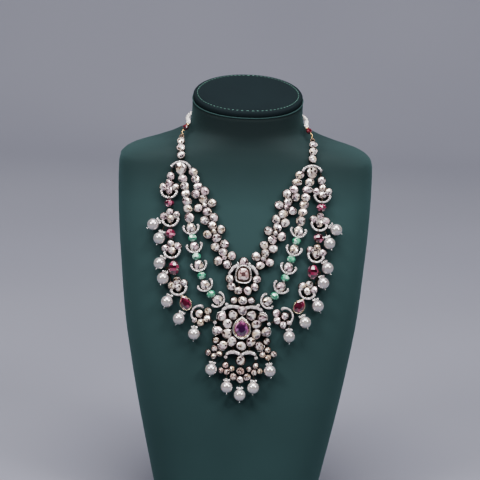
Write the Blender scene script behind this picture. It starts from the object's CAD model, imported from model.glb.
# Layered necklace on its neck bust: smooth cloth, uncut stones, pave leaves, beads and
# pearls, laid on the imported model. Lengths are millimetres until a piece is finished.
import random
from math import atan, atan2, copysign, cos, degrees, hypot, pi, radians, sin, sqrt, tau

import bmesh
import bpy
from mathutils import Matrix, Vector


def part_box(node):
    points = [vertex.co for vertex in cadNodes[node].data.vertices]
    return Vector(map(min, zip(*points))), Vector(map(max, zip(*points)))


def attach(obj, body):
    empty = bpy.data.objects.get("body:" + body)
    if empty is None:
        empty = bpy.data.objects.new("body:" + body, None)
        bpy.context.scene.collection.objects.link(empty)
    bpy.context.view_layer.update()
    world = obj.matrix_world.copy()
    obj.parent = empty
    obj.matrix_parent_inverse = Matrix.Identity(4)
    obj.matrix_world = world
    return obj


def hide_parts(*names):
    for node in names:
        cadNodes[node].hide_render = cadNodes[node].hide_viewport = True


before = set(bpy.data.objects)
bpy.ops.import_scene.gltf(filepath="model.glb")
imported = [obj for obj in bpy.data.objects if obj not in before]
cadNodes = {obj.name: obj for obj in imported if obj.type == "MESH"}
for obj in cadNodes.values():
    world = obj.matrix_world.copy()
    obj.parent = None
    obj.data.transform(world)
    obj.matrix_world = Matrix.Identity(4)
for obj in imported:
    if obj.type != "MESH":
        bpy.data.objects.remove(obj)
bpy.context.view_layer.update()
mm = 0.001
sides = {"right": 1, "left": -1}
zAxis = Vector((0, 0, 1))

# The bust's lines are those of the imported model, and everything lies on its chest
chest = {
    "rim": 365,  # height of the front of the neck rim
    "lean": 13,  # degrees
    "capRise": 21,  # of the neck's cut, at its back
    "neckTaper": 0.09,
    "neckEnd": 30,  # where the rise and the taper have gone
    "neckFront": 46,
    "neckBack": 46.5,
    "backLean": 0.087,
    "backFrom": 40,
    "front": 95.5,  # the foremost line
    "square": (2.2, 0.8, 16, 20),  # power of the outline, its gain, from, over
    "rest": 0.5,  # settings lie this far off the chest
    # below the rim's front, half the width, chest ahead of the neck's axis
    "sections": [
        (0, 51, 46), (8, 51.2, 46), (14, 51.8, 46.2), (19, 54, 46.6), (23, 62, 47.2),
        (26.5, 73, 48), (30, 88, 49), (33, 98.5, 49.8), (36, 107, 50.6), (39.5, 113, 51.6),
        (43, 116.3, 52.4), (48, 117.4, 53.5), (60, 117.6, 56.2), (75, 117.3, 59.8),
        (90, 116.7, 63.8), (105, 115.8, 67.9), (120, 114.7, 72), (135, 113.3, 75.9),
        (150, 111.9, 79.4), (165, 110.5, 82.6), (180, 108.9, 85.4), (195, 107, 87.9),
        (210, 104.6, 90), (225, 101.9, 91.6), (240, 99.3, 92.9), (260, 95.6, 94.2),
        (285, 90.6, 95.1), (315, 84.2, 95.5), (340, 78.8, 95.4), (365, 73, 95),
    ],
}
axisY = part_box("bust")[0].y / mm + chest["front"]


def move(x, y, z=0.0):
    return Matrix.Translation((x, y, z))


def spun(angle, axis="Z"):  # radians
    return Matrix.Rotation(angle, 4, axis)


def turned(degrees, axis="Z"):
    return spun(radians(degrees), axis)


def sized(x, y, z):
    return Matrix.Diagonal((x, y, z, 1))


def sectionValue(below, column):
    rows = chest["sections"]
    below = min(max(below, rows[0][0]), rows[-1][0])
    for over, under in zip(rows, rows[1:]):
        if below <= under[0]:
            share = (below - over[0]) / (under[0] - over[0])
            return over[column] + (under[column] - over[column]) * share
    return rows[-1][column]


def ramp(value):
    return min(1.0, max(0.0, value))


def signedPow(value, power):
    return copysign(abs(value) ** power, value)


def backAt(below):
    return chest["neckBack"] - max(0, below - chest["backFrom"]) * chest["backLean"]


def squareness(below):
    base, gain, first, length = chest["square"]
    return base + gain * ramp((below - first) / length)


# A point of the bust's outline, grown outwards and lifted
def outlinePoint(below, turn, grow=0.0, lift=0.0):
    half, front = sectionValue(below, 1) + grow, sectionValue(below, 2) + grow
    back, power = backAt(below) + grow, 2 / squareness(below)
    c, s = cos(radians(turn)), sin(radians(turn))
    y = (back - front) / 2 + (back + front) / 2 * signedPow(s, power)
    fade = 1 - ramp(below / chest["neckEnd"])
    x = half * signedPow(c, power) * (1 - chest["neckTaper"] * fade * max(0, s))
    rise = chest["capRise"] * fade * (y + front - grow) / (back + front - 2 * grow)
    return Vector((x, y + axisY, chest["rim"] - below + rise + lift))


def chestY(across, below):
    front, back, power = sectionValue(below, 2), backAt(below), squareness(below)
    inside = max(0.0, 1 - min(1, abs(across) / sectionValue(below, 1)) ** power)
    return (back - front) / 2 - (back + front) / 2 * inside ** (1 / power)


# How far below the rim a drop in the leaning plane ends
def belowAt(across, drop, below=150.0, tries=12):
    lean = radians(chest["lean"])
    for _ in range(tries):
        depth = chestY(across, below) + chest["neckFront"]
        below = (below + (drop + depth * sin(lean)) / cos(lean)) / 2
    return below


def fromAxis(point, side):  # told from the neck's axis and the rim
    return Vector((side * point[0], point[1] + axisY, point[2] + chest["rim"]))


# The place of a motif: +X to the right, +Y up the chest, +Z out of it
def chestFrame(across, drop, turn=0.0, lift=chest["rest"], near=2):
    below = belowAt(across, drop)
    fall = chestY(across, below - near) - chestY(across, below + near)
    drift = chestY(across + near, below) - chestY(across - near, below)
    slope, yaw = atan(fall / (2 * near)), atan(drift / (2 * near))
    at = move(across, chestY(across, below) + axisY, chest["rim"] - below)
    tilt = spun(yaw) @ spun(pi / 2 - slope, "X")
    return at @ tilt @ move(0, 0, lift) @ turned(-turn)


def motifFrame(side, across, drop, turn=0.0):
    return chestFrame(side * across, drop, side * turn)


def lineFrame(place, target, lift):  # +Y runs towards the target
    heading = atan2(place[0] - target[0], place[1] - target[1])
    return chestFrame(*place, lift=lift) @ spun(heading)


def around(place, distance, turn):
    t = radians(turn)
    return (place[0] + distance * sin(t), place[1] - distance * cos(t))


def outOf(matrix):
    return (matrix.to_3x3() @ zAxis).normalized()


def stamp(bm, kind, matrix):  # lays a copy in the piece
    copy = kind.copy()
    copy.transform(matrix)
    bm.from_mesh(copy)
    bpy.data.meshes.remove(copy)


def template(bm):
    bmesh.ops.recalc_face_normals(bm, faces=bm.faces)
    mesh = bpy.data.meshes.new("kind")
    bm.to_mesh(mesh)
    bm.free()
    return mesh


def join(bm, part, matrix):  # lays a part there and frees it
    mesh = template(part)
    stamp(bm, mesh, matrix)
    bpy.data.meshes.remove(mesh)


def addObject(name, data):
    made = bpy.data.objects.new(name, data)
    bpy.context.scene.collection.objects.link(made)
    return made


def meshObject(bm, name, material, smooth):
    mesh = bpy.data.meshes.new(name)
    bm.to_mesh(mesh)
    bm.free()
    for face in mesh.polygons:
        face.use_smooth = smooth
    mesh.materials.append(material)
    return addObject(name, mesh)


def finishPiece(bm, name, material, replaced=(), smooth=False, outward=False):
    if outward:
        bmesh.ops.recalc_face_normals(bm, faces=bm.faces)
    bmesh.ops.scale(bm, vec=(mm, mm, mm), verts=bm.verts)
    piece = meshObject(bm, name, material, smooth)
    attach(piece, "root")
    if replaced:
        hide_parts(*replaced)


def edgesOf(corners):  # in the same order on each run
    return list(dict.fromkeys(e for v in corners for e in v.link_edges))


def ring(bm, segments, place, radius=1):
    made = bmesh.ops.create_circle(bm, segments=segments, radius=radius, matrix=place)
    return edgesOf(made["verts"])


def shapedRing(bm, segments, shape):  # shape gives each corner of a circle its place
    corners = bmesh.ops.create_circle(bm, segments=segments, radius=1)["verts"]
    for k, v in enumerate(corners):
        v.co = shape(k, v.co)
    return edgesOf(corners)


def skin(bm, rings, closed=False):  # a wall through the rings, with both ends shut
    pairs = list(zip(rings, rings[1:])) + ([(rings[-1], rings[0])] if closed else [])
    for first, second in pairs:
        bmesh.ops.bridge_loops(bm, edges=first + second)
    if not closed:
        for end in (rings[0], rings[-1]):
            bmesh.ops.edgeloop_fill(bm, edges=end)


# Each radius may be a matrix that shapes its ring
def tube(bm, points, radii, segments=8, closed=False, out=zAxis):
    rings = []
    count = len(points)
    for k, point in enumerate(points):
        ahead = points[(k + 1) % count] if closed or k + 1 < count else point
        behind = points[k - 1] if closed or k else point
        along = (ahead - behind).normalized()
        side = along.cross(out).normalized()
        place = Matrix((side, side.cross(along), along)).transposed().to_4x4()
        place.translation = point
        shape = radii[k] if isinstance(radii, list) else radii
        if not isinstance(shape, Matrix):
            shape = sized(shape, shape, shape)
        rings.append(ring(bm, segments, place @ shape))
    skin(bm, rings, closed)


def addBall(bm, at, radius):
    bmesh.ops.create_icosphere(bm, subdivisions=2, radius=radius, matrix=at)


def shake(rng):
    return Vector((rng.uniform(-1, 1), rng.uniform(-1, 1), rng.uniform(-1, 1)))


def byPlace(faces):  # because a sphere's faces come in any order
    return sorted(faces, key=lambda face: [round(v, 3) for v in face.calc_center_median()])


# A share on every facet, which the stone finishes turn into a shade; a flat top draws its
# own from the table's range
def shadeFacets(bm, rng, table=None, upright=0.93, order=list):
    layer = bm.faces.layers.float.get("facet") or bm.faces.layers.float.new("facet")
    bm.normal_update()
    for face in order(bm.faces):
        flat = table and face.normal.z > upright
        face[layer] = rng.uniform(*table) if flat else rng.random()


# An uneven outline, the same for a stone and its bezel
def wobble(bm, seed, amount, third=0.6):
    rng = random.Random(seed)
    first, second = rng.uniform(0, 6.28), rng.uniform(0, 6.28)
    for v in bm.verts:
        t = atan2(v.co.y, v.co.x)
        grow = 1 + amount * (cos(2 * t + first) + third * cos(3 * t + second))
        v.co.x *= grow
        v.co.y *= grow


def newFinish(name):
    material = bpy.data.materials.new(name)
    material.use_nodes = True
    tree = material.node_tree
    where = tree.nodes.new("ShaderNodeTexCoord")
    return material, tree, tree.nodes["Principled BSDF"], where.outputs["Object"]


def rgb(*picked):  # from the 0 to 255 of a colour picker
    return tuple(((c / 255 + 0.055) / 1.055) ** 2.4 if c > 10 else c / 255 / 12.92
                 for c in picked) + (1,)


def setInputs(node, **values):
    for key, value in values.items():
        node.inputs[key.replace("_", " ")].default_value = value


def texture(tree, kind, where, **settings):
    node = tree.nodes.new(kind)
    for key, value in settings.items():
        if key in node.inputs:
            node.inputs[key].default_value = value
        else:
            setattr(node, key, value)
    tree.links.new(where, node.inputs["Vector"])
    return node


def colours(tree, factor, stops):  # each stop is a place and a colour
    node = tree.nodes.new("ShaderNodeValToRGB")
    band = node.color_ramp
    band.elements[0].position, band.elements[0].color = stops[0]
    band.elements[1].position, band.elements[1].color = stops[-1]
    for place, colour in stops[1:-1]:
        band.elements.new(place).color = colour
    tree.links.new(factor, node.inputs["Fac"])
    return node.outputs["Color"]


def relief(tree, height, shader, strength, distance):
    node = tree.nodes.new("ShaderNodeBump")
    setInputs(node, Strength=strength, Distance=distance)
    tree.links.new(height, node.inputs["Height"])
    tree.links.new(node.outputs["Normal"], shader.inputs["Normal"])


def multiplied(tree, first, second):
    node = tree.nodes.new("ShaderNodeMix")
    node.data_type = "RGBA"
    node.blend_type = "MULTIPLY"
    setInputs(node, Factor=1.0)
    tree.links.new(first, node.inputs["A"])
    tree.links.new(second, node.inputs["B"])
    return node.outputs["Result"]


pile = {"Roughness": 0.75, "Sheen_Roughness": 0.6, "Sheen_Tint": rgb(120, 176, 178)}


# topShade darkens the cloth between two heights in metres: from, to, colour
def clothFinish(name, dark, light, grain, topShade=None, gloss=0.1, sheen=0.12):
    material, tree, shader, where = newFinish(name)
    broad = texture(tree, "ShaderNodeTexNoise", where, Scale=9, Detail=3)
    fine = texture(tree, "ShaderNodeTexVoronoi", where, Scale=grain,
                   feature="DISTANCE_TO_EDGE")
    cloth = colours(tree, broad.outputs["Fac"], [(0.3, dark), (0.7, light)])
    if topShade:
        first, last, shade = topShade
        height = tree.nodes.new("ShaderNodeSeparateXYZ")
        tree.links.new(where, height.inputs["Vector"])
        fall = tree.nodes.new("ShaderNodeMapRange")
        setInputs(fall, From_Min=first, From_Max=last)
        tree.links.new(height.outputs["Z"], fall.inputs["Value"])
        stops = [(0.0, (1, 1, 1, 1)), (1.0, shade)]
        cloth = multiplied(tree, cloth, colours(tree, fall.outputs["Result"], stops))
    tree.links.new(cloth, shader.inputs["Base Color"])
    relief(tree, fine.outputs["Distance"], shader, 0.25, 0.0004)
    setInputs(shader, Specular_IOR_Level=gloss, Sheen_Weight=sheen, **pile)
    return material


# One drift of colour; the noise is its scale, detail and roughness
def noiseFinish(name, noise, stops, bump=None, **values):
    material, tree, shader, where = newFinish(name)
    scale, detail, rough = noise
    drift = texture(tree, "ShaderNodeTexNoise", where, Scale=scale, Detail=detail,
                    Roughness=rough)
    tree.links.new(colours(tree, drift.outputs["Fac"], stops), shader.inputs["Base Color"])
    if bump:
        relief(tree, drift.outputs["Fac"], shader, *bump)
    setInputs(shader, **values)
    return material


def metalFinish(name, dark, bright, roughness, spots=700):
    return noiseFinish(name, (spots, 4, 0.6), [(0.35, dark), (0.62, bright)], (0.3, 0.0002),
                       Metallic=0.9, Roughness=roughness)


foil = {"Metallic": 0.4, "Coat_IOR": 2.2}  # behind the uncut stones
glass = {"Metallic": 0.1, "Coat_IOR": 1.6}
plain = [(0.4, rgb(240, 240, 240)), (0.6, rgb(255, 255, 255))]


# A cut or foiled stone with one shade on every facet. A heart is a ball of another colour:
# its place, reach and colour
def facetFinish(name, shades, tints=plain, gleam=glass, heart=None):
    material, tree, shader, where = newFinish(name)
    facet = tree.nodes.new("ShaderNodeAttribute")
    facet.attribute_name = "facet"
    shade = colours(tree, facet.outputs["Fac"], shades)
    drift = texture(tree, "ShaderNodeTexNoise", where, Scale=120, Detail=1)
    both = multiplied(tree, shade, colours(tree, drift.outputs["Fac"], tints))
    if heart:
        place, reach, colour = heart
        about = tree.nodes.new("ShaderNodeMapping")
        about.vector_type = "TEXTURE"
        setInputs(about, Location=place, Scale=(reach, reach, reach))
        tree.links.new(where, about.inputs["Vector"])
        ball = texture(tree, "ShaderNodeTexGradient", about.outputs["Vector"],
                       gradient_type="SPHERICAL")
        core = colours(tree, ball.outputs["Fac"], [(0.15, (1, 1, 1, 1)), (0.6, colour)])
        both = multiplied(tree, both, core)
    tree.links.new(both, shader.inputs["Base Color"])
    setInputs(shader, Roughness=0.09, Coat_Weight=1.0, Coat_Roughness=0.02, IOR=1.8, **gleam)
    return material


neckShade = (0.285, 0.35, rgb(140, 128, 131))  # the pile lies the other way up there
bustCloth = clothFinish("bustCloth", rgb(28, 47, 48), rgb(33, 54, 55), 1300, neckShade)
capCloth = clothFinish(
    "capCloth", rgb(11, 17, 20), rgb(15, 23, 26), 1300, gloss=0.03, sheen=0.01)
pipingCloth = clothFinish("pipingCloth", rgb(26, 45, 45), rgb(33, 54, 54), 1800, sheen=0.05)
threadCloth = clothFinish("threadCloth", rgb(44, 74, 67), rgb(76, 110, 99), 2500, sheen=0.05)
darkSilver = metalFinish("darkSilver", rgb(26, 18, 15), rgb(96, 78, 64), 0.42)
blackSilver = metalFinish("blackSilver", rgb(10, 7, 6), rgb(52, 38, 30), 0.5)
brightSilver = metalFinish("brightSilver", rgb(188, 184, 182), rgb(244, 242, 240), 0.22, 900)
leafSilver = metalFinish("leafSilver", rgb(92, 82, 80), rgb(206, 198, 198), 0.28, 900)
stoneBezel = metalFinish("stoneBezel", rgb(64, 52, 50), rgb(196, 180, 176), 0.3, 900)
warmGold = metalFinish("warmGold", rgb(176, 132, 70), rgb(240, 205, 140), 0.25)
paleGold = metalFinish("paleGold", rgb(190, 160, 116), rgb(246, 228, 196), 0.25)
white, lilac = rgb(255, 253, 252), rgb(196, 187, 196)
smoke, coal = rgb(118, 102, 104), rgb(44, 34, 34)
uncutStone = facetFinish(
    "uncutStone",
    [(0.15, coal), (0.24, smoke), (0.38, lilac), (0.48, white)],
    [(0.38, rgb(248, 214, 222)), (0.5, rgb(252, 248, 248)), (0.62, rgb(250, 228, 196))], foil)
champagneStone = facetFinish(
    "champagneStone",
    [(0.18, coal), (0.26, smoke), (0.4, lilac), (0.5, white)],
    [(0.4, rgb(240, 200, 188)), (0.5, rgb(250, 242, 238)), (0.6, rgb(240, 212, 174))], foil)
paveStone = facetFinish(
    "paveStone", [(0.0, coal), (0.16, smoke), (0.4, lilac), (0.7, white)],
    [(0.4, rgb(250, 238, 240)), (0.6, rgb(250, 248, 246))], foil)
pinkStone = facetFinish(
    "pinkStone",
    [(0.0, rgb(70, 50, 52)), (0.2, rgb(150, 120, 122)), (0.4, rgb(206, 184, 184)),
     (0.6, white)],
    [(0.4, rgb(246, 214, 214)), (0.6, rgb(250, 228, 222))], foil)
emeraldBead = facetFinish(
    "emeraldBead",
    [(0.0, rgb(22, 88, 66)), (0.3, rgb(48, 140, 106)), (0.65, rgb(84, 176, 140)),
     (1.0, rgb(206, 246, 228))])
rubyBead = facetFinish(
    "rubyBead",
    [(0.0, rgb(28, 2, 12)), (0.35, rgb(66, 6, 30)), (0.65, rgb(110, 20, 54)),
     (0.9, rgb(146, 44, 84)), (1.0, rgb(216, 138, 164))])
garnetGlass = facetFinish(
    "garnetGlass", [(0.0, rgb(20, 1, 5)), (0.5, rgb(60, 4, 16)), (1.0, rgb(130, 24, 44))])
heartOfPear = chestFrame(0, 190.5) @ Vector((0, 0, 6)) * mm
purpleStone = facetFinish(
    "purpleStone",
    [(0.0, rgb(46, 6, 40)), (0.4, rgb(86, 18, 68)), (0.75, rgb(122, 36, 94)),
     (1.0, rgb(206, 132, 182))], heart=(heartOfPear, 0.0075, rgb(132, 84, 176)))
pearlSkin = noiseFinish(
    "pearlSkin", (70, 2, 0.5), [(0.35, rgb(182, 173, 176)), (0.65, rgb(196, 189, 188))],
    Metallic=0.56, Roughness=0.19, Coat_Weight=1.0, Coat_Roughness=0.02, Coat_IOR=2.2,
    Subsurface_Weight=0.1, Subsurface_Scale=0.002)
seedBead = noiseFinish(
    "seedBead", (300, 1, 0.5), [(0.35, rgb(214, 206, 204)), (0.65, rgb(244, 240, 238))],
    Roughness=0.25, Coat_Weight=0.6, Coat_Roughness=0.08)
print("finishes")

bust = {
    "segments": 120,
    # below the rim: close rows over the shoulders, then even steps to the foot
    "rows": [0, 4, 8, 12, 15, 17, 19, 21, 23, 25, 26.5, 28, 29.5, 31, 32.5, 34, 35.5, 37, 39,
             41, 43, 45.5, 48, 52, 56],
    "rowStep": 6.0,
}


def bustRing(bm, segments, below, grow=0.0, lift=0.0):
    return shapedRing(bm, segments, lambda k, corner: outlinePoint(
        below, degrees(atan2(corner.y, corner.x)), grow, lift))


def makeBust():
    rows = list(bust["rows"])
    while rows[-1] < chest["rim"] - bust["rowStep"]:
        rows.append(rows[-1] + bust["rowStep"])
    rows[-1] = chest["rim"]
    bm = bmesh.new()
    skin(bm, [bustRing(bm, bust["segments"], below) for below in rows])
    finishPiece(bm, "bustBody", bustCloth, ["bust"], smooth=True, outward=True)


cap = {
    "segments": 96,
    # growth, height above the neck's cut
    "profile": [(-1.2, 0.3), (-0.6, 0.8), (-0.4, 1.5), (-0.4, 3.2), (-0.6, 4.3), (-1.2, 5.1),
                (-2.2, 5.5), (-7, 5.2), (-20, 4.6), (-34, 4.4)],
    "piping": (0.55, 0.1),  # radius and lift
    "stitches": 74,
    "stitchInset": 4.2,
    "stitchHeight": 5.35,
    "stitch": [(0.1, 0.15), (0.25, 0.4), (0.5, 0.4), (0.62, 0.15)],  # share of a step, radius
}


def makeCap():
    bm = bmesh.new()
    count = cap["segments"]
    skin(bm, [bustRing(bm, count, 0, grow, lift) for grow, lift in cap["profile"]])
    finishPiece(bm, "capCover", capCloth, ["neck_cap"], smooth=True, outward=True)
    bm = bmesh.new()
    radius, lift = cap["piping"]
    edge = [outlinePoint(0, 360 * k / count, 0.0, lift) for k in range(count)]
    tube(bm, edge, radius, closed=True)
    finishPiece(bm, "capPiping", pipingCloth, smooth=True, outward=True)
    bm = bmesh.new()
    step = 360 / cap["stitches"]
    for k in range(cap["stitches"]):
        points = [outlinePoint(0, step * (k + share), -cap["stitchInset"],
                               cap["stitchHeight"]) for share, _ in cap["stitch"]]
        tube(bm, points, [radius for _, radius in cap["stitch"]], segments=6)
    finishPiece(bm, "capStitches", threadCloth, smooth=True, outward=True)


makeBust()
makeCap()
print("bust and cap")

stones = {
    "kinds": 14,
    "facets": 8,
    "levels": ((0.98, 0.3), (0.8, 0.36), (0.4, 0.3)),  # share of the outline, rise
    "girdle": 0.4,  # corners above this are moved a little
    "jitter": 0.09,
    "wobble": 0.055,
    "table": (0.2, 0.6),  # shades of the flat top
    "poke": 0.05,
    "bud": (0.16, 0.1),  # how far a bud is drawn out and pinched
    "bezelRadius": 0.07,
    "bezelHeight": 1.1,
    "wall": 0.12,
    "stretch": (0.94, 1.08),
    # height of the collet, height of the stone, depth of its seat
    "large": (4.2, 1.75, 0.45),
    "small": (3.6, 2.0, 0.05),
    "plate": (1.25, 1.7),  # the dark back: middle, thickness
    "backing": 0.85,  # of soldered stones
}


def topFace(bm):
    return max(bm.faces, key=lambda face: face.calc_center_median().z)


def makeUncutStone(seed, facets):
    rng = random.Random(seed)
    bm = bmesh.new()
    layer = bm.faces.layers.float.new("facet")
    bmesh.ops.create_circle(bm, cap_ends=True, segments=facets, radius=1)
    last = 1.0
    for scale, rise in stones["levels"]:
        grown = bmesh.ops.extrude_discrete_faces(bm, faces=[topFace(bm)])["faces"][0]
        centre = grown.calc_center_median()
        for v in grown.verts:
            v.co = centre + (v.co - centre) * scale / last
            v.co.z += rise
        last = scale
    for v in bm.verts:
        if v.co.z > stones["girdle"]:
            v.co += shake(rng) * stones["jitter"]
    patches = bmesh.ops.poke(bm, faces=[topFace(bm)], offset=stones["poke"])["faces"]
    wobble(bm, seed, stones["wobble"])
    bmesh.ops.recalc_face_normals(bm, faces=bm.faces)
    shadeFacets(bm, rng, stones["table"])
    for k, face in enumerate(patches):  # the table shows as two or three patches
        face[layer] = patches[k - k % 3][layer]
    return template(bm)


def makeBezelRing(seed):
    bm = bmesh.new()
    ring(bm, 6, move(1, 0) @ spun(pi / 2, "X"), stones["bezelRadius"])
    bmesh.ops.spin(bm, geom=bm.verts[:] + bm.edges[:], axis=(0, 0, 1), cent=(0, 0, 0),
                   angle=tau, steps=20, use_merge=True)
    wobble(bm, seed, stones["wobble"])
    return template(bm)


def pointed(mesh):  # a bud with its point up
    out, pinch = stones["bud"]
    for v in mesh.vertices:
        v.co.y *= 1 + out * max(0, v.co.y) ** 3
        v.co.x *= 1 - pinch * max(0, v.co.y) ** 2
    return mesh


stoneKinds = [makeUncutStone(k, stones["facets"]) for k in range(stones["kinds"])]
bezelKinds = [makeBezelRing(k) for k in range(stones["kinds"])]
stoneKinds.append(pointed(makeUncutStone(90, stones["facets"])))
bezelKinds.append(pointed(makeBezelRing(90)))
smallKinds = [makeUncutStone(k + 50, 7) for k in range(3)]
plate = bmesh.new()
bmesh.ops.create_cone(plate, cap_ends=True, segments=14, radius1=0.94, radius2=1, depth=1)
backPlate = template(plate)
backings = bmesh.new()  # one piece behind all stones


def setStone(gems, bezels, at, collet, seed, small=False, stretch=(1, 1), backing=0.3,
             bud=False):
    rng = random.Random(seed)
    half = collet / 2
    centre, thickness = stones["plate"]
    plate = sized(half + backing, half + backing, thickness)
    stamp(backings, backPlate, at @ move(0, 0, centre) @ plate)
    kind = rng.randrange(stones["kinds"])
    spin = spun(rng.uniform(0, tau))
    if bud:
        kind, spin = stones["kinds"], Matrix()
    x, y = (share * rng.uniform(*stones["stretch"]) for share in stretch)
    rim, height, sunk = stones["small" if small else "large"]
    bare = half - stones["wall"]
    shape = sized(bare * x, bare * y, height)
    stamp(gems, stoneKinds[kind], at @ move(0, 0, rim - sunk) @ shape @ spin)
    shape = sized(half * x, half * y, half * stones["bezelHeight"])
    stamp(bezels, bezelKinds[kind], at @ move(0, 0, rim) @ shape @ spin)


# A group of stones and their bezels; each row is a place, a collet and setStone's options
def makeStones(word, tail, rows, seed, finish=uncutStone, replaced=()):
    gems, bezels = bmesh.new(), bmesh.new()
    for at, collet, options in rows:
        setStone(gems, bezels, at, collet, seed, **options)
        seed += 1
    finishPiece(gems, f"{word}Stones{tail}", finish, replaced)
    finishPiece(bezels, f"{word}Bezels{tail}", stoneBezel, smooth=True)
    return seed


def onFrame(at, side, rows, options):  # each row: across, up, collet
    return [(at @ move(side * x, y), collet, options) for x, y, collet in rows]


def onChest(side, groups):  # each group: places, collet, setStone's options
    return [(motifFrame(side, *place), collet, options)
            for places, collet, options in groups for place in places]


soldered = {"backing": stones["backing"]}
neck = {
    # x and y from the neck's axis, z from the rim, tilt and yaw of the face, collet
    "climbing": [(59.7, -45, -29.8, 36, 9, 6.8), (59.9, -39.4, -25, 44, 10, 6.2)],
    "sunk": 0.9,
    "row": [([(59.1, 35.6)], 6.6, {}), ([(59, 46.5)], 9, {"stretch": (1, 10.6 / 9)})],
    "junction": (59, 46.5),
    "archDrop": 3.4,
}


def neckStones(side):
    rows = []
    for x, y, z, tilt, yaw, collet in neck["climbing"]:
        at = move(*fromAxis((x, y, z), side)) @ turned(side * yaw) @ turned(90 - tilt, "X")
        rows.append((at @ move(0, 0, -neck["sunk"]), collet, {}))
    return rows + onChest(side, neck["row"])


inner = {
    "row": [([(47.9, 49.6), (45.6, 56.2), (43.2, 62.8)], 6.7, {"stretch": (1.15, 1)})],
    "clusters": [(38.3, 74.1), (29.3, 97.8), (19.1, 121.4)],
    "set": [(0, 0, 6.8), (-1.2, 7.3, 6.8), (7, 4.3, 6.8), (-8.1, -3.2, 6.8),
            (4.1, -8.2, 6.8), (-4.3, -11.2, 6.8)],
    "setOptions": {"stretch": (1.07, 1.05), **soldered},
    "small": [(-1.6, -5.2, 4.2)],
}


def innerStones(side):
    rows = onChest(side, inner["row"])
    for place in inner["clusters"]:
        at = motifFrame(side, *place)
        rows += onFrame(at, side, inner["set"], inner["setOptions"])
        rows += onFrame(at, side, inner["small"], {"small": True})
    return rows


middle = {
    "row": [([(57, 56), (55.2, 62.7), (53.9, 69.5), (52.7, 76.3), (51.6, 83.2)], 6.7,
             {"stretch": (1.2, 1)}), ([(50, 91.4)], 8.4, {})],
    # across, drop, turn of the top towards the outside
    "lotus": [(48.3, 100.6, 9), (44.8, 117.2, 14), (40.2, 133.8, 18), (34, 151.4, 34),
              (22.2, 164.6, 62)],
    "lotusStone": (6.8, {"stretch": (1.1, 1.16), "bud": True}),
    "lotusRaised": 1.2,  # the leaf over the stone's middle
    "foot": 4.6,
    "ballDown": 4.8,  # the small ball at its foot
    "ball": 1.25,
    # a slim petal beside the bud: across, up, radius
    "petal": [(0.4, -4.4, 0.2), (2.0, -3.6, 0.26), (3.2, -2.4, 0.32), (3.8, -0.6, 0.32),
              (3.6, 1.4, 0.28), (2.8, 3.0, 0.24), (1.6, 4.2, 0.18)],
    "petalHeight": 4.3,
    # across, drop, bead across its hole, length
    "emeralds": [(46.7, 109.5, 8, 6.4), (42.5, 126.1, 8, 6.4), (37.5, 143.2, 8, 6.4),
                 (28.6, 159.5, 8, 6.4)],
    # facets round and along the bead, more of them with each bead, unevenness, seed
    "emeraldCut": (9, 6, 0, 0.12, 40),
}


def middleStones(side):
    return onChest(side, middle["row"] + [(middle["lotus"], *middle["lotusStone"])])


outer = {
    "row": [([(67.7, 53.9)], 6.7, {})],
    "flowers": [(68.8, 66.8, 2), (66.9, 92.7, 10), (64.6, 121.2, 13), (57.9, 154.4, 17),
                (38.6, 177.4, -120)],
    "collet": 6.5,
    "petal": (5.8, {"small": True, "stretch": (1.08, 1.08), **soldered}),
    "petals": (6.3, (-64, 0, 64)),  # reach and turns
    "lastPetals": (8.3, (-49, 0, 48)),
    "extra": [(4, -6.1, 4.6)],  # beside the last flower's middle
    "foot": 6.6,
    "ball": 1.2,
    "rubies": [(68.2, 78.7, 9, 6.6), (66.3, 106.4, 9.4, 8), (62, 137, 10.2, 12.4)],
    "rubyCut": (8, 6, 1, 0.14, 60),
    "drop": (51, 168.3, 28),
    "dropRaised": 0.45,
    # width, length, corners and how sharply the top closes; its levels, its seed
    "dropCut": ((9.7, 13.8, 14, 1.3), [(0.9, 3.1), (1, 4.3), (0.8, 5.2), (0.42, 6.0)], 71),
    "dropRim": ((9.9, 14.0, 28, 1.3), 4.3, 0.32),  # the same, height, radius of the wire
}


def outerStones(side):
    rows = onChest(side, outer["row"])
    collet, options = outer["petal"]
    for place in outer["flowers"]:
        at = motifFrame(side, *place)
        rows.append((at, outer["collet"], soldered))
        reach, turns = outer["lastPetals" if place == outer["flowers"][-1] else "petals"]
        petals = [(reach * sin(t), reach * cos(t), collet)
                  for t in map(radians, turns)]
        rows += onFrame(at, side, petals, options)
    return rows + onFrame(motifFrame(side, *place[:2]), side, outer["extra"], {"small": True})


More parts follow.
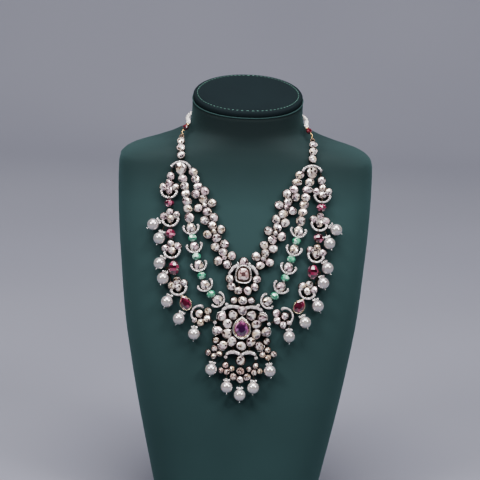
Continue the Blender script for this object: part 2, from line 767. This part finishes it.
upper = {
    "place": (0, 140.7),
    "middle": [(0, 11, 7.2)],
    "sides": [(12.3, -4.4, 6.4), (10.6, -11.4, 6.4), (4.3, -14.9, 6.4)],
    "options": {"stretch": (1.05, 1.05), "backing": 1.0},
    "leaf": (0.6, -3.4, 46),  # across, up, turn
    "shoulders": (5.2, 9.6, 3.2),  # small balls beside the top stone
    "shoulderBall": 1.15,
    "cut": ((9.6, 10.8, 12), [(1, 3.4), (1, 4.6), (0.78, 5.6), (0.4, 6.2)], 72),
    "rim": ((14.2, 15.8, 32), 4.7, 0.45),
    "border": (12.9, 14.5, 34),
    "borderHeight": 4.6,
    "borderStone": (0.45, 0.45, 0.4),
}
lower = {
    "place": (0, 188.8),
    "middle": [(0, 15.4, 8.3), (0, -16.6, 8.1), (0, -30, 7.8), (0, 24.6, 7.6)],
    "sides": [(8.3, 11.1, 8.1), (13, 3.2, 8.1), (13.3, -5.6, 8), (8.6, -12.8, 8),
              (18.2, 9.5, 7.4), (21.7, -3.3, 7.4), (16.4, -16.5, 7.4), (22.9, -12.2, 5.2),
              (7.8, 24.6, 5.6)],
    "options": {"backing": 1.1},
    "wing": (9, 7, 8),
    "scroll": (7, -30.4, 0),
    "balls": [(24.4, 3.9), (13.8, -27.2), (14.2, 20.6)],
    "ballHeight": 2.4,
    "ball": (1.75, 1.75, 2.0),
    # silver wires round the outer stones: across, up, radius, from and to in degrees
    "wires": [(18.2, 9.5, 4.7, -30, 130), (21.7, -3.3, 4.6, -80, 60),
              (16.4, -16.5, 4.5, -110, 10)],
    "wireHeight": 3.4,
    "wireRadii": [0.3] + [0.55] * 13 + [0.3],
    "cut": ((13, 17.2, 16, 1.2), [(1, 3.4), (1, 4.6), (0.8, 6.0), (0.48, 6.9)], 73),
    "rim": ((15.7, 19.9, 32, 1.2), 5.1, 0.5),
    "bezel": ((13.7, 17.9, 32, 1.2), 5.1, 0.4),
}
# which sides, then across, drop and collet of each stone, the lowest last
fringe = [
    ((1, -1), [(24, 208.4, 5), (29.6, 212.2, 5), (19.5, 213, 5), (24.5, 215.3, 5)]),
    ((1, -1), [(13.6, 223.1, 5), (17.6, 228.1, 4.8), (7.7, 226.4, 4.8), (12.3, 229.4, 5)]),
    ((1,), [(0, 228.2, 6.8), (6.3, 233.6, 6), (-6.3, 233.6, 6), (0, 236.1, 5.8)]),
]
fringeOptions = {"small": True, "backing": 0.6}


def pendantStones(pendant):
    at, options = chestFrame(*pendant["place"]), pendant["options"]
    return [row for side, word in ((1, "middle"), (1, "sides"), (-1, "sides"))
            for row in onFrame(at, side, pendant[word], options)]


def fringeStones():
    rows = []
    for signs, motif in fringe:
        across, drop, _ = motif[-1]
        flower = [(x - across, drop - down, collet) for x, down, collet in motif]
        for side in signs:
            rows += onFrame(chestFrame(side * across, drop), side, flower, fringeOptions)
    return rows


strands = {"neck": neckStones, "inner": innerStones, "middle": middleStones,
           "outer": outerStones}
firstSeeds = {"right": 1001, "left": 2001}
for word, stonesOf in strands.items():
    for tail, side in sides.items():
        makeStones(word, tail.capitalize(), stonesOf(side), firstSeeds[tail],
                   replaced=[f"{word}_stones_{tail}"])
print("stones of the strands")
nextSeed = 3001
for word, pendant in {"upper": upper, "lower": lower}.items():
    nextSeed = makeStones(word + "Pendant", "", pendantStones(pendant), nextSeed,
                          replaced=[word + "_pendant_stones"])
makeStones("fringe", "", fringeStones(), nextSeed, champagneStone)
finishPiece(backings, "backings", blackSilver)
print("stones of the pendants and the fringe")

leaves = {
    # radius, thickness, half span, base, height, radius of the bulbs, thicker towards them
    "lotus": (7.3, 1.55, 96, 1.8, 2.5, 1.3, True),
    "flower": (7.8, 1.9, 84, 1.8, 2.5, 1.35, True),
    "arch": (10.2, 1.9, 62, 1.8, 2.5, 1.35, True),
    "upper": (13.9, 3.4, 27, 0.3, 3.7, 1.2, False),
    "wing": (13.5, 3.4, 35, 0.3, 3.7, 1.7, True),
    "scroll": (9.5, 3.5, 45, 0.3, 3.7, 1.3, False),
}
shell = {
    "stations": 17,
    "thinning": 0.6,  # what the ends lose of the thickness
    "proud": 0.1,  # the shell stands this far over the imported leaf
    "corner": 1.06,
    "full": 1.12,
    "bulb": 0.92,  # share of a bulb where the leaf meets it
    "bulbInset": 0.8,
    "swelling": 1.2,
    "stone": (0.42, 0.84, 0.32),  # share of the width, share of a bulb, height
    "stoneStep": 1.7,
    "stoneSpan": 0.94,
}


def leafThickness(radius, thick, span, angle):
    shift = shell["thinning"] * thick / (1 - cos(radians(span)))
    hollow = radius - thick + shift
    t = radians(angle)
    return radius + shift * cos(t) - sqrt(hollow ** 2 - (shift * sin(t)) ** 2)


def makeLeaf(kind):
    radius, thick, span, base, height, tip, comma = leaves[kind]
    proud, count = shell["proud"], shell["stations"]
    metal, gems = bmesh.new(), bmesh.new()

    def onLeaf(angle, reach, up):
        t = radians(angle)
        return Vector((reach * sin(t), -reach * cos(t), up))

    def swollen(slim, full, angle):
        share = (abs(angle) / span) ** shell["swelling"]
        return slim + (full - slim) * share if comma else slim

    points, shapes = [], []
    for k in range(count):
        angle = span * (2 * k / (count - 1) - 1)
        wide = leafThickness(radius, thick, span, angle)
        points.append(onLeaf(angle, radius - wide / 2, base + height / 2))
        slim = wide / 2 * shell["full"] + proud
        width = swollen(slim, tip * shell["bulb"], angle) * shell["corner"]
        tall = (height / 2 + proud * 2) * shell["corner"]
        shapes.append(sized(width, tall, 1) @ turned(22.5))
    tube(metal, points, shapes)
    for side in (-1, 1):
        at = onLeaf(side * span, radius - tip * shell["bulbInset"], base + height / 2)
        bulb = tip + proud * 1.5
        place = move(*at) @ sized(bulb, bulb, height / 2 + proud * 2.5)
        bmesh.ops.create_uvsphere(metal, u_segments=10, v_segments=6, radius=1, matrix=place)
    many = int(radians(2 * span) * (radius - thick / 2) / shell["stoneStep"])
    ofWidth, ofBulb, high = shell["stone"]
    for k in range(many + 1):
        angle = span * shell["stoneSpan"] * (2 * k / many - 1)
        wide = leafThickness(radius, thick, span, angle)
        size = swollen(ofWidth * wide, ofBulb * tip, angle)
        at = move(*onLeaf(angle, radius - wide / 2, base + height + proud * 1.2))
        stamp(gems, smallKinds[k % 3], at @ sized(size, size, high))
    return template(metal), template(gems)


leafKinds = {kind: makeLeaf(kind) for kind in leaves}
footHeight = 3.6  # of the small balls at the feet of the motifs


def makeLeaves(side, name):
    metal, sparks = bmesh.new(), bmesh.new()

    def put(kind, at, x=0, y=0, turn=0, over=180):
        place = at @ move(side * x, y) @ turned(over - side * turn)
        stamp(metal, leafKinds[kind][0], place)
        stamp(sparks, leafKinds[kind][1], place)

    put("arch", motifFrame(side, *neck["junction"]), y=-neck["archDrop"])
    for place in middle["lotus"]:
        at = motifFrame(side, *place)
        put("lotus", at, y=middle["lotusRaised"], over=0)
        for x in (-1, 1):  # a slim petal hugs the bud on each side
            petal = [at @ Vector((x * across, up, middle["petalHeight"]))
                     for across, up, _ in middle["petal"]]
            radii = [radius for _, _, radius in middle["petal"]]
            tube(metal, petal, radii, 6, out=outOf(at))
        addBall(metal, at @ move(0, -middle["ballDown"], footHeight), middle["ball"])
    for place in outer["flowers"]:
        at = motifFrame(side, *place)
        put("flower", at, over=0)
        addBall(metal, at @ move(0, -outer["foot"], footHeight), outer["ball"])
    put("upper", chestFrame(*upper["place"]), *upper["leaf"])
    at = chestFrame(*lower["place"])
    put("wing", at, *lower["wing"])
    put("scroll", at, *lower["scroll"])
    finishPiece(metal, f"paveLeaves{name}", leafSilver, smooth=True)
    finishPiece(sparks, f"paveStones{name}", paveStone)


for tail, side in sides.items():
    makeLeaves(side, tail.capitalize())
print("pave leaves")


def makeBead(across, length, facets, rows, seed, jitter, long=1.08):
    rng = random.Random(seed)
    bm = bmesh.new()
    shape = sized(across / 2, length / 2 * long, across / 2) @ spun(pi / 2, "X")
    bmesh.ops.create_uvsphere(bm, u_segments=facets, v_segments=rows, radius=1, matrix=shape)
    for v in bm.verts:
        v.co.y = max(-length / 2, min(length / 2, v.co.y))
        v.co += shake(rng) * jitter
    shadeFacets(bm, rng, order=byPlace)
    return bm


# Outlines of cut stones, from their widest part to the right
def circle(count):
    return [(cos(tau * k / count), sin(tau * k / count)) for k in range(count)]


def pear(width, length, count, point, sag=0.12):
    return [(width / 2 * signedPow(c, 1 + point * max(0, s)), length / 2 * (s - sag * c * c))
            for c, s in circle(count)]


def tapered(width, length, count, square=0.7, taper=0.16):
    return [(width / 2 * signedPow(c, square) * (1 - taper * s),
             length / 2 * signedPow(s, square)) for c, s in circle(count)]


# A cut stone of any outline: each level is a share of the outline and a height
def addCutStone(bm, outlineOf, cut, at):
    shape, levels, seed = cut
    outline, part = outlineOf(*shape), bmesh.new()
    skin(part, [shapedRing(part, len(outline), lambda k, _: Vector(
        (outline[k][0] * share, outline[k][1] * share, height))) for share, height in levels])
    shadeFacets(part, random.Random(seed))
    join(bm, part, at)


def addRim(bm, outlineOf, rim, at):
    shape, height, radius = rim
    points = [at @ Vector((x, y, height)) for x, y in outlineOf(*shape)]
    tube(bm, points, radius, 6, closed=True, out=outOf(at))


# Beads on their wires: each hangs towards the foot of the motif before it
def stringBeads(bm, beads, motifs, foot, cut, side):
    facets, rows, more, jitter, seed = cut
    for k, (across, drop, width, length) in enumerate(beads):
        x, down, turn = motifs[k]
        target = around((side * x, down), -foot, side * turn)
        grown = more * k
        bead = makeBead(width, length, facets + grown, rows + grown, seed + k + side, jitter)
        join(bm, bead, lineFrame((side * across, drop), target, width / 2 + chest["rest"]))


def makeBeads(side, tail):
    name = tail.capitalize()
    bm = bmesh.new()
    stringBeads(bm, middle["emeralds"], middle["lotus"], middle["foot"],
                middle["emeraldCut"], side)
    finishPiece(bm, f"emeraldBeads{name}", emeraldBead, [f"emeralds_{tail}"])
    bm = bmesh.new()
    stringBeads(bm, outer["rubies"], outer["flowers"], outer["foot"], outer["rubyCut"], side)
    at = motifFrame(side, *outer["drop"]) @ move(0, outer["dropRaised"])
    addCutStone(bm, pear, outer["dropCut"], at)
    finishPiece(bm, f"rubyBeads{name}", rubyBead, [f"rubies_{tail}"], outward=True)
    bm = bmesh.new()
    addRim(bm, pear, outer["dropRim"], at)
    finishPiece(bm, f"rubyBezel{name}", paleGold, smooth=True, outward=True)


for tail, side in sides.items():
    makeBeads(side, tail)
print("emerald and ruby beads")

pearls = {
    # across, drop, what it hangs from: across, drop, its radius there, its height
    "side": [
        (81.5, 98.4, 73, 91, 2.4, 3), (75.8, 110.8, 72.2, 97.6, 0.6, 3.6),
        (74.7, 133.2, 71.1, 124.5, 0.7, 3.6), (71.3, 146.7, 69.4, 137.4, 0.8, 3),
        (67.1, 167.5, 64.1, 158.2, 0.7, 3.6), (56.3, 182.5, 51.6, 171.4, 2, 3),
        (42.6, 195.8, 42.6, 183.5, 2, 3),
    ],
    "fringe": [(26.4, 227.2, 24.5, 215.3, 2.2, 3), (12, 242.9, 12.3, 229.4, 2.2, 3),
               (0, 249.8, 0, 236.1, 2.4, 3)],
    "radius": 5.45,
    "drilled": 0.985,  # the ends are drawn in to this share
    "uneven": (0.004, 0.003),
    "firstSeed": 501,
    # the two small stones on its cap: across, above the pearl, sunk, size
    "sparks": (2.1, 1.05, 0.4, (1.2, 1.2, 1.5)),
}


def dropFrame(row, side):
    pearl, hook = (side * row[0], row[1]), (side * row[2], row[3])
    lift = chest["rest"] + pearls["radius"]
    far = hypot(pearl[0] - hook[0], pearl[1] - hook[1]) - row[4]
    return lineFrame(pearl, hook, lift) @ spun(atan2(row[5] - lift, far), "X")


def pearlMesh(at, seed):  # a little out of round, drawn in at the drilled ends
    bm = bmesh.new()
    bmesh.ops.create_uvsphere(bm, u_segments=36, v_segments=24, radius=pearls["radius"],
                              matrix=spun(pi / 2, "X"))
    phase = random.Random(seed).uniform(0, 6.28)
    oval, wave = pearls["uneven"]
    for v in bm.verts:
        t = atan2(v.co.z, v.co.x)
        v.co *= 1 + oval * cos(2 * t + phase) + wave * cos(v.co.y + phase)
        if abs(v.co.y) > pearls["radius"] * pearls["drilled"]:
            v.co.y *= pearls["drilled"]
    bmesh.ops.transform(bm, matrix=at, verts=bm.verts)
    return bm


def allPearls():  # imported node, name of the piece, place
    for tail, side in sides.items():
        for k, row in enumerate(pearls["side"], 1):
            yield f"pearl_{tail}_{k}", f"pearl{tail.capitalize()}{k}", dropFrame(row, side)
    places = [dropFrame(row, side) for row in pearls["fringe"] for side in (1, -1)]
    for node in sorted(n for n in cadNodes if n.startswith("fringe_pearl")):
        low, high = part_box(node)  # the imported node's middle says which pearl it is
        centre = (low + high) / 2 / mm
        nearest = min(places, key=lambda at: (at.translation - centre).length)
        yield node, "fringePearl" + node[-1], nearest


def makePearls():
    sparks = bmesh.new()
    across, above, sunk, size = pearls["sparks"]
    for seed, (node, name, at) in enumerate(allPearls(), pearls["firstSeed"]):
        finishPiece(pearlMesh(at, seed), name, pearlSkin, [node], smooth=True)
        for x in (-across, across):
            top = at @ move(x, pearls["radius"] + above, 0)
            stamp(sparks, smallKinds[seed % 3], top @ move(0, 0, -sunk) @ sized(*size))
    for x, y in lower["balls"]:
        for side in (1, -1):
            at = chestFrame(*lower["place"]) @ move(side * x, y, lower["ballHeight"])
            stamp(sparks, smallKinds[0], at @ sized(*lower["ball"]))
    finishPiece(sparks, "diamondBalls", paveStone)


makePearls()
print("pearls")


def addWires(bm, at):
    last = len(lower["wireRadii"]) - 1
    for x, y, radius, first, end in lower["wires"]:
        for side in (1, -1):
            arc = []
            for k in range(last + 1):
                t = radians(first + (end - first) * k / last)
                across = side * (x + radius * cos(t))
                arc.append(at @ Vector((across, y + radius * sin(t), lower["wireHeight"])))
            tube(bm, arc, lower["wireRadii"], 6, out=outOf(at))


def makePendantMiddles():
    at = chestFrame(*upper["place"])
    rims, sparks, bm = bmesh.new(), bmesh.new(), bmesh.new()
    addCutStone(bm, tapered, upper["cut"], at)
    finishPiece(bm, "upperPendantStone", pinkStone, ["upper_pendant_centre"],
                outward=True)
    x, y, height = upper["shoulders"]
    for side in (-1, 1):
        addBall(rims, at @ move(side * x, y, height), upper["shoulderBall"])
    addRim(rims, tapered, upper["rim"], at)
    for k, (x, y) in enumerate(tapered(*upper["border"])):
        stamp(sparks, smallKinds[k % 3], at @ move(x, y, upper["borderHeight"])
              @ sized(*upper["borderStone"]))
    at = chestFrame(*lower["place"])
    bm = bmesh.new()
    addCutStone(bm, pear, lower["cut"], at)
    finishPiece(bm, "pearCutStone", purpleStone, ["pear_stone"],
                outward=True)
    addRim(rims, pear, lower["rim"], at)
    addWires(rims, at)
    finishPiece(rims, "pendantRims", brightSilver, smooth=True, outward=True)
    finishPiece(sparks, "pendantBorderStones", paveStone)
    bm = bmesh.new()
    addRim(bm, pear, lower["bezel"], at)
    finishPiece(bm, "pearBezel", paleGold, smooth=True, outward=True)


makePendantMiddles()
print("pendants")

ends = {
    # places from the neck's axis and the rim
    "garnet": (56.5, -27.4, -13.1),
    "garnetCut": (5.5, 10, 8, 90, 0.05),  # across, facets round and along, seed, unevenness
    "rope": [(54.6, -24.3, -10.3), (54, -22, -9.5), (54.1, -14, -9.6)],
    "ropeBelow": 15,
    "ropeRadius": 2,
    "ropeClear": 1,
    "ropeEnd": 80,  # degrees round the neck, where the clasp begins
    "ropeSteps": 32,
    "bead": 0.85,
    "strands": 3,
    "twist": 18,  # millimetres for one turn
}


def ropeRoute(side):
    route = [fromAxis(point, side) for point in ends["rope"]]
    steps = ends["ropeSteps"]
    for k in range(steps + 1):
        p = outlinePoint(ends["ropeBelow"], ends["ropeEnd"] * k / steps,
                         ends["ropeRadius"] + ends["ropeClear"])
        route.append(Vector((side * p.x, p.y, p.z)))
    return route


def makeNeckEnds(side, tail):
    name = tail.capitalize()
    across, facets, rows, seed, jitter = ends["garnetCut"]
    bm = bmesh.new()
    join(bm, makeBead(across, across, facets, rows, seed + side, jitter),
         move(*fromAxis(ends["garnet"], side)))
    finishPiece(bm, f"garnetBead{name}", garnetGlass, [f"garnet_{tail}"])
    route, radius, count = ropeRoute(side), ends["bead"], ends["strands"]
    bead = bmesh.new()
    bmesh.ops.create_uvsphere(bead, u_segments=8, v_segments=5, radius=radius)
    bead = template(bead)
    bm = bmesh.new()
    travelled, wanted = 0.0, radius
    for a, b in zip(route, route[1:]):
        length = (b - a).length
        along = (b - a).normalized()
        out = along.cross(zAxis).normalized()
        up = out.cross(along)
        while wanted <= travelled + length:
            at = a + along * (wanted - travelled)
            for strand in range(count):
                t = tau * (strand / count + wanted / ends["twist"])
                off = (out * cos(t) + up * sin(t)) * (ends["ropeRadius"] - radius)
                stamp(bm, bead, Matrix.Translation(at + off))
            wanted += radius * 2
        travelled += length
    finishPiece(bm, f"seedBeads{name}", seedBead, [f"seed_rope_{tail}"],
                smooth=True)


for tail, side in sides.items():
    makeNeckEnds(side, tail)
print("garnets and seed beads")

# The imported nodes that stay: their metal, by a word of their names
kept = {"pins": brightSilver, "gold": warmGold, "clasp": warmGold}
for name, node in cadNodes.items():
    if not node.hide_render:
        finish = next((metal for word, metal in kept.items() if word in name), darkSilver)
        node.data.materials.clear()
        node.data.materials.append(finish)
print("metal of the packed settings")

stage = {"half": 9.0, "front": -8.0, "back": 1.6, "bend": 0.6, "height": 8.0, "steps": 16}


def makeStage():  # a floor that bends up into a wall, in metres
    bm = bmesh.new()
    bmesh.ops.create_grid(bm, x_segments=1, y_segments=1, size=1)
    for v in bm.verts:
        y = stage["front"] if v.co.y < 0 else stage["back"]
        v.co = Vector((v.co.x * stage["half"], y, 0))

    def farEdge():
        return [max(bm.edges, key=lambda e: e.verts[0].co.y + e.verts[1].co.y)]

    bmesh.ops.spin(bm, geom=farEdge(), axis=(1, 0, 0), cent=(0, stage["back"], stage["bend"]),
                   angle=pi / 2, steps=stage["steps"])
    wall = bmesh.ops.extrude_edge_only(bm, edges=farEdge())["geom"]
    risen = [part for part in wall if isinstance(part, bmesh.types.BMVert)]
    bmesh.ops.translate(bm, vec=(0, 0, stage["height"]), verts=risen)
    stops = [(0.3, rgb(102, 103, 115)), (0.7, rgb(106, 107, 119))]
    paleStage = noiseFinish("paleStage", (2, 1, 0.5), stops, Roughness=0.9)
    meshObject(bm, "floorAndWall", paleStage, True)


lights = {
    # place, aim, size, watts, colour
    "left": ((-1.36, -1.16, 1.62), (0, -0.05, 0.25), 0.7, 42, (1.0, 0.98, 0.96)),
    "right": ((1.36, -1.16, 1.62), (0, -0.05, 0.25), 0.7, 40, (1.0, 0.98, 0.96)),
    "above": ((0, -0.62, 2.7), (0, -0.02, 0.25), 1.9, 161, (1.0, 0.99, 0.98)),
    "wall": ((0, 0.5, 1.9), (0, 2.2, 0.5), 1.5, 18, (0.98, 0.98, 1)),
}


def makeLights():
    for name, (place, aim, size, watts, colour) in lights.items():
        lamp = bpy.data.lights.new(name + "Light", "AREA")
        lamp.shape = "DISK"
        lamp.size = size
        lamp.energy = watts
        lamp.color = colour
        holder = addObject(name + "Light", lamp)
        holder.location = place
        holder.rotation_mode = "QUATERNION"
        holder.rotation_quaternion = (Vector(aim) - Vector(place)).to_track_quat("-Z", "Y")
    world = bpy.data.worlds.new("studio")
    world.use_nodes = True
    light = world.node_tree.nodes["Background"]
    setInputs(light, Color=(0.8, 0.82, 0.86, 1), Strength=0.05)
    bpy.context.scene.world = world


# The photographed view, rolled a little as the bust leans in the picture
view = {
    "aim": (-0.0041, -0.05, 0.2593),
    "distance": 1.8,
    "elevation": 13.66,
    "azimuth": -1.0,
    "roll": 1.98,
    "lens": 149.7,
    "sensor": 36,
    "range": (0.05, 50),
}


def makeCamera():
    camera = bpy.data.cameras.new("viewCamera")
    camera.lens = view["lens"]
    camera.sensor_width = view["sensor"]
    camera.clip_start, camera.clip_end = view["range"]
    facing = turned(view["azimuth"]) @ turned(90 - view["elevation"], "X")
    back = turned(view["roll"]) @ move(0, 0, view["distance"])
    holder = addObject("viewCamera", camera)
    holder.matrix_world = move(*view["aim"]) @ facing @ back
    bpy.context.scene.camera = holder


makeStage()
makeLights()
makeCamera()
print("stage, light and camera")
